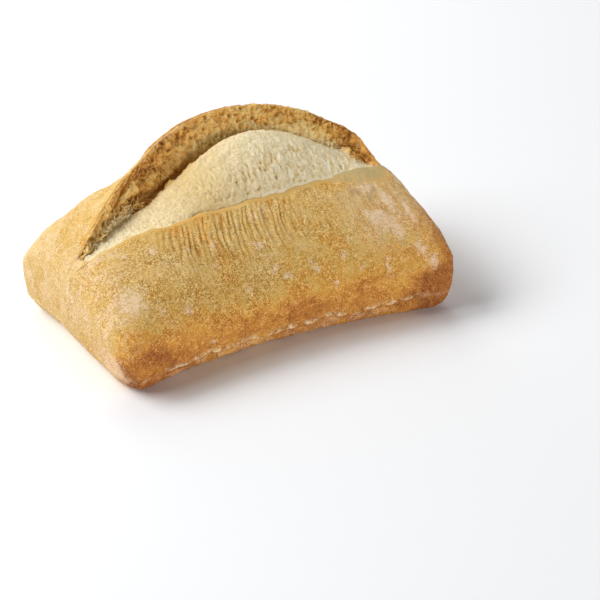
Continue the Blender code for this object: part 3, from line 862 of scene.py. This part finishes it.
def crumbMaterial():
    material, tree, shader = newMaterial("torn crumb", 0.85, 0.10)
    where = addNode(tree, "ShaderNodeTexCoord").outputs["Object"]
    toast, brown, hollowShade = (attributeOf(tree, name) for name in ("toast", "brown", "hollowShade"))
    patch = noiseAt(where, 150.0, 4.0, 0.6)
    fine = useGroup(tree, fineGrain, {"Vector": where, "Scale": 1300.0, "Contrast": 3.6}).outputs
    # the cream crumb
    creamTone = plus(times(patch, 0.5), times(fine["Tone"], 0.6), clamp=True)
    cream = ramp(creamTone, crumb["cream"])
    dots = fit(noiseAt(where, 620.0, 2.0, 0.6), 0.54, 0.64)
    cream = mixColour(times(dots, 0.5), cream, crumb["dotColour"])
    # painted highlight on raised fibres and bubble walls, with the lip's white strip
    ridge = most(fit(attributeOf(tree, "raisedHighlight"), 0.1, 0.9), attributeOf(tree, "lipStrip"))
    specks = fit(fine["Tone"], 0.62, 0.95)
    pale = most(times(ridge, 0.75), times(specks, 0.7))
    cream = mixColour(pale, cream, crumb["paleAndHighlightColour"])
    # painted shade: darker, yellower colour in the opened bubbles, pores, crack and pockets
    cream = mixColour(times(hollowShade, 0.90), cream, crumb["hollowAndShadeColour"])
    # the browned ear, darker with painted shade in its crevices and pores and lighter with a painted
    # highlight on its crags
    tone = plus(brown, times(attributeOf(tree, "cragShadeAndHighlight"), 0.50), times(middled(patch), 0.7))
    tone = plus(tone, times(middled(fine["Tone"]), 0.5), times(hollowShade, 0.4), clamp=True)
    colour = mixColour(toast, cream, ramp(tone, crumb["toasted"]))
    colour = mixColour(times(attributeOf(tree, "rolled"), 0.8), colour, crumb["rolledColour"])
    tree.links.new(colour, shader.inputs["Base Color"])
    addBump(tree, shader, fine["Height"], 0.6, 0.0007)
    return material


def voronoi(tree, where, scale, feature):
    inputs = {"Vector": where, "Scale": scale, "Randomness": 1.0}
    return addNode(tree, "ShaderNodeTexVoronoi", inputs, feature=feature).outputs["Distance"]


def crumbReliefTree():
    tree, source, sink, identifiers = startTree("crumbRelief", sizeInputs(crumb["relief"]))
    given = source.outputs
    where = addNode(tree, "GeometryNodeInputPosition").outputs[0]
    toast = named(tree, "toast")
    soft = less(1.0, toast, clamp=True)
    total = times(roundNoise(tree, given, "Dimple", 3.0, 0.5), soft)
    # crags and crevices of the ear
    crag = roundNoise(tree, given, "Crag", 4.0)
    crumble = roundNoise(tree, given, "Crumble", 3.0)
    creviceAt = noiseAt(where, over(0.8, given["Crag Size"]), 3.0, 0.6, 0.6)
    crevice = fit(calc("ABSOLUTE", middled(creviceAt)), 0.035, 0.0)
    crevice = times(crevice, fit(noiseAt(where, 210.0, 2.0), 0.42, 0.56))
    total = plus(total, times(plus(crag, crumble), toast, named(tree, "rugged")))
    total = less(total, times(crevice, toast, given["Crag Depth"], 0.28))
    streak = drawnNoise(tree, given["Streak Size"], "fold", 0.2)
    streak = times(streak, given["Streak Depth"], 2.0, toast)
    fibre = drawnNoise(tree, given["Fibre Size"], "fold", 0.22, 2.0, 0.5)
    total = plus(total, roundNoise(tree, given, "Fuzz", 2.0), streak)
    total = plus(total, times(fibre, given["Fibre Depth"], 2.0, soft))
    # stretched bubbles of the dome, opened by the tear
    wide = over(1.0, given["Cell Size"])
    size = addNode(tree, "ShaderNodeCombineXYZ", {0: wide, 1: times(wide, 0.42), 2: 1.0}).outputs[0]
    bent = times(middled(noiseAt(where, 260.0, 2.0)), 0.0022)
    fold = vectorCalc("ADD", named(tree, "fold", "FLOAT_VECTOR"), {1: bent})
    drawn = vectorCalc("MULTIPLY", fold, {1: size})
    bubble = voronoi(tree, drawn, 1.0, "SMOOTH_F1")
    zone = fit(noiseAt(where, 150.0, 2.0), 0.40, 0.60, 0.15, 1.0)
    cells = named(tree, "cells")
    opened = times(fit(bubble, 0.52, 0.16), zone, cells)
    total = less(total, times(opened, given["Cell Depth"]))
    # pores, the crack and the pockets
    pore = fit(voronoi(tree, where, over(1.0, given["Pit Size"]), "F1"), 0.46, 0.08)
    zone = fit(noiseAt(where, 230.0, 2.0), 0.40, 0.56, 0.1, 1.0)
    pore = times(pore, zone, named(tree, "pits"))
    total = less(total, times(pore, given["Pit Depth"]))
    crack = most(named(tree, "crack"), named(tree, "pocket"))
    total = less(total, times(crack, given["Crack Depth"]))
    total = times(total, named(tree, "shown"))
    # what the material reads: the painted shade of the hollows, the painted highlight on raised fibres, and
    # the crags' painted shade and highlight
    hollowShade = most(most(opened, pore), crack, clamp=True)
    # raised fibres and bubble walls, for their painted highlight
    raisedHighlight = plus(times(fibre, 3.0), times(fit(bubble, 0.45, 0.75), 0.6), clamp=True)
    # painted shade in low crags and crevices, painted highlight on high crags, as ambient occlusion would
    # give
    cragShadeAndHighlight = over(times(crag, -0.6), given["Crag Depth"])
    cragShadeAndHighlight = less(cragShadeAndHighlight, over(crumble, given["Crumble Depth"]))
    stored = storeValue(tree, given["Geometry"], "hollowShade", hollowShade)
    stored = storeValue(tree, stored, "raisedHighlight", times(raisedHighlight, cells))
    stored = storeValue(tree, stored, "cragShadeAndHighlight", plus(cragShadeAndHighlight, times(crevice, 0.55)))
    finishTree(tree, source, sink, pushOut(tree, stored, total))
    return tree, identifiers


crumbLook = crumbMaterial()
runTree(crumbPiece, *crumbReliefTree(), sizeValues(crumb["relief"], crumbLook))
print("crumb done: %d faces" % len(crumbPiece.data.polygons))

# shreds, crumbs and flour grit: small closed bits scattered over the two surfaces (mm)
scatter = {
    "shreds": {"count": 330, "mask": "tear", "radius": 0.62, "length": 3.1, "seed": 4},
    "crumbs": {"count": 1900, "mask": "crumbly", "radius": 0.26, "length": 0.0, "seed": 9},
    "flourGrit": {"count": 900, "mask": "gritty", "radius": 0.13, "length": 0.0, "seed": 2},
    "smallest": (0.45, 0.45, 0.4), "largest": (1.25, 1.25, 1.4),   # scale across and along
    "shredLean": 0.55, "turnSeed": 31, "sizeSeed": 57, "bendScale": 520.0,
    "gritColours": [(0.35, (0.80, 0.56, 0.27)), (0.65, (0.86, 0.70, 0.46))],
}


def scatterTree(name, isShred):
    sockets = [("Material", "Material"), ("Seed", "Int")]
    sockets += [(socketName, "Float") for socketName in ("Density", "Radius", "Length")]
    tree, source, sink, identifiers = startTree(name, sockets)
    given = source.outputs
    density = times(given["Density"], named(tree, scatter[name]["mask"]))
    inputs = {"Mesh": given["Geometry"], "Density": density, "Seed": given["Seed"]}
    points = addNode(tree, "GeometryNodeDistributePointsOnFaces", inputs, distribute_method="RANDOM").outputs
    halfTurn = 3.14
    lean = halfTurn
    if isShred:
        inputs = {"Vertices": 6, "Side Segments": 3, "Radius Top": times(given["Radius"], 0.08),
                  "Radius Bottom": given["Radius"], "Depth": given["Length"]}
        shape = addNode(tree, "GeometryNodeMeshCone", inputs).outputs["Mesh"]
        lean = scatter["shredLean"]
    else:
        inputs = {"Radius": given["Radius"], "Subdivisions": 1}
        shape = addNode(tree, "GeometryNodeMeshIcoSphere", inputs).outputs["Mesh"]
    inputs = {0: (-lean, -lean, -halfTurn), 1: (lean, lean, halfTurn), "Seed": scatter["turnSeed"]}
    turn = addNode(tree, "FunctionNodeRandomValue", inputs, data_type="FLOAT_VECTOR").outputs[0]
    inputs = {"Rotation": points["Rotation"], "Rotate By": turn}
    turned = addNode(tree, "FunctionNodeRotateRotation", inputs, rotation_space="LOCAL").outputs[0]
    inputs = {0: scatter["smallest"], 1: scatter["largest"], "Seed": scatter["sizeSeed"]}
    size = addNode(tree, "FunctionNodeRandomValue", inputs, data_type="FLOAT_VECTOR").outputs[0]
    inputs = {"Points": points["Points"], "Instance": shape, "Rotation": turned, "Scale": size}
    placed = addNode(tree, "GeometryNodeInstanceOnPoints", inputs).outputs[0]
    whole = addNode(tree, "GeometryNodeRealizeInstances", {0: placed}).outputs[0]
    where = addNode(tree, "GeometryNodeInputPosition").outputs[0]
    inputs = {"Vector": where, "Scale": scatter["bendScale"], "Detail": 1.0}
    bend = addNode(tree, "ShaderNodeTexNoise", inputs).outputs["Color"]
    bend = vectorCalc("SUBTRACT", bend, {1: (0.5, 0.5, 0.5)})
    bend = vectorCalc("SCALE", bend, {3: times(given["Radius"], 2.0)})
    bent = addNode(tree, "GeometryNodeSetPosition", {"Geometry": whole, "Offset": bend}).outputs[0]
    finishTree(tree, source, sink, bent)
    return tree, identifiers


def scatterOn(base, name, material):
    sizes = scatter[name]
    mesh = base.data
    area = 0.0
    weight = np.empty(len(mesh.vertices), np.float32)
    mesh.attributes[sizes["mask"]].data.foreach_get("value", weight)
    for polygon in mesh.polygons:
        area += polygon.area * float(weight[polygon.vertices[0]])
    piece = bpy.data.objects.new(name, mesh.copy())
    bpy.context.scene.collection.objects.link(piece)
    tree, identifiers = scatterTree(name, sizes["length"] > 0)
    return runTree(piece, tree, identifiers, {
        "Material": material, "Density": sizes["count"] / area, "Radius": sizes["radius"] * mm,
        "Length": sizes["length"] * mm, "Seed": sizes["seed"]})


def gritMaterial():
    material, tree, shader = newMaterial("flour grit", 0.9)
    where = addNode(tree, "ShaderNodeTexCoord").outputs["Object"]
    colour = ramp(noiseAt(where, 400.0, 2.0), scatter["gritColours"])
    tree.links.new(colour, shader.inputs["Base Color"])
    return material


shredPiece = scatterOn(crumbPiece, "shreds", crumbLook)
bitPiece = scatterOn(crumbPiece, "crumbs", crumbLook)
gritPiece = scatterOn(crustPiece, "flourGrit", gritMaterial())
print("scattered: %d faces" % sum(len(piece.data.polygons) for piece in (shredPiece, bitPiece, gritPiece)))

for piece in (crustPiece, crumbPiece, shredPiece, bitPiece, gritPiece):
    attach(piece, "root")
    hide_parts("bread_roll")

# the camera: degrees, metres, and the pixel where the point above the roll's middle is seen
view = {"azimuth": -28.1, "elevation": 26.75, "distance": 1.0, "pixelsPerMm": 2.539, "aimHeight": 30.0,
        "seenAt": (236.6, 236.1), "frame": 600, "sensor": 36.0, "clip": (0.05, 20.0)}

# the lamps stand round the roll: azimuth, elevation, size, power
lamps = {"keyBackLeft": (-135, 46, 1.0, 16.0), "left": (-100, 40, 1.0, 13.8), "back": (165, 50, 1.0, 4.2),
         "backLow": (170, 22, 1.1, 6.4), "backRight": (110, 45, 1.1, 1.0), "frontRight": (50, 9, 0.45, 8.9),
         "front": (0, 9, 0.45, 7.0)}
lampDistance = 1.6
floorSize = {"reach": 2.5, "drop": 0.0002}


def addObject(name, data):
    made = bpy.data.objects.new(name, data)
    bpy.context.scene.collection.objects.link(made)
    return made


def awayAt(azimuth, elevation):
    a, e = math.radians(azimuth), math.radians(elevation)
    return Vector((math.sin(a) * math.cos(e), -math.cos(a) * math.cos(e), math.sin(e)))


def turnTo(made, away):
    made.rotation_mode = "QUATERNION"
    made.rotation_quaternion = away.to_track_quat("Z", "Y")


def buildStage():
    mesh = bpy.data.meshes.new("floor")
    reach = floorSize["reach"]
    corners = [(-reach, -reach, 0), (reach, -reach, 0), (reach, reach, 0), (-reach, reach, 0)]
    mesh.from_pydata(corners, [], [(0, 1, 2, 3)])
    floor = addObject("floor", mesh)
    material, shader = newMaterial("white table", 0.9)[::2]
    shader.inputs["Base Color"].default_value = (0.94, 0.95, 0.965, 1)
    mesh.materials.append(material)
    floor.location.z = -floorSize["drop"]


def areaLight(name, azimuth, elevation, size, power):
    data = bpy.data.lights.new(name, "AREA")
    data.shape = "DISK"
    data.size, data.energy = size, power
    light = addObject(name, data)
    away = awayAt(azimuth, elevation)
    light.location = away * lampDistance
    turnTo(light, away)


def buildCamera():
    back = awayAt(view["azimuth"], view["elevation"])
    right = Vector((math.cos(math.radians(view["azimuth"])), math.sin(math.radians(view["azimuth"])), 0))
    up = back.cross(right)
    target = Vector((shift[0], shift[1], view["aimHeight"])) * unit
    half = view["frame"] / 2
    aside, below = ((half - seen) / view["pixelsPerMm"] * mm for seen in view["seenAt"])
    data = bpy.data.cameras.new("camera")
    data.sensor_width = view["sensor"]
    data.lens = view["pixelsPerMm"] / mm * view["distance"] * view["sensor"] / view["frame"]
    data.clip_start, data.clip_end = view["clip"]
    camera = addObject("camera", data)
    camera.location = target + back * view["distance"]
    turnTo(camera, camera.location - (target + right * aside - up * below))
    bpy.context.scene.camera = camera


buildStage()
for lampName, values in lamps.items():
    areaLight(lampName, *values)
world = bpy.data.worlds.new("soft room")
world.use_nodes = True
world.node_tree.nodes["Background"].inputs[0].default_value = (1, 1, 1, 1)
world.node_tree.nodes["Background"].inputs[1].default_value = 0.01
bpy.context.scene.world = world
buildCamera()
bpy.context.scene.view_settings.view_transform = "Standard"
print("stage, light and camera done")
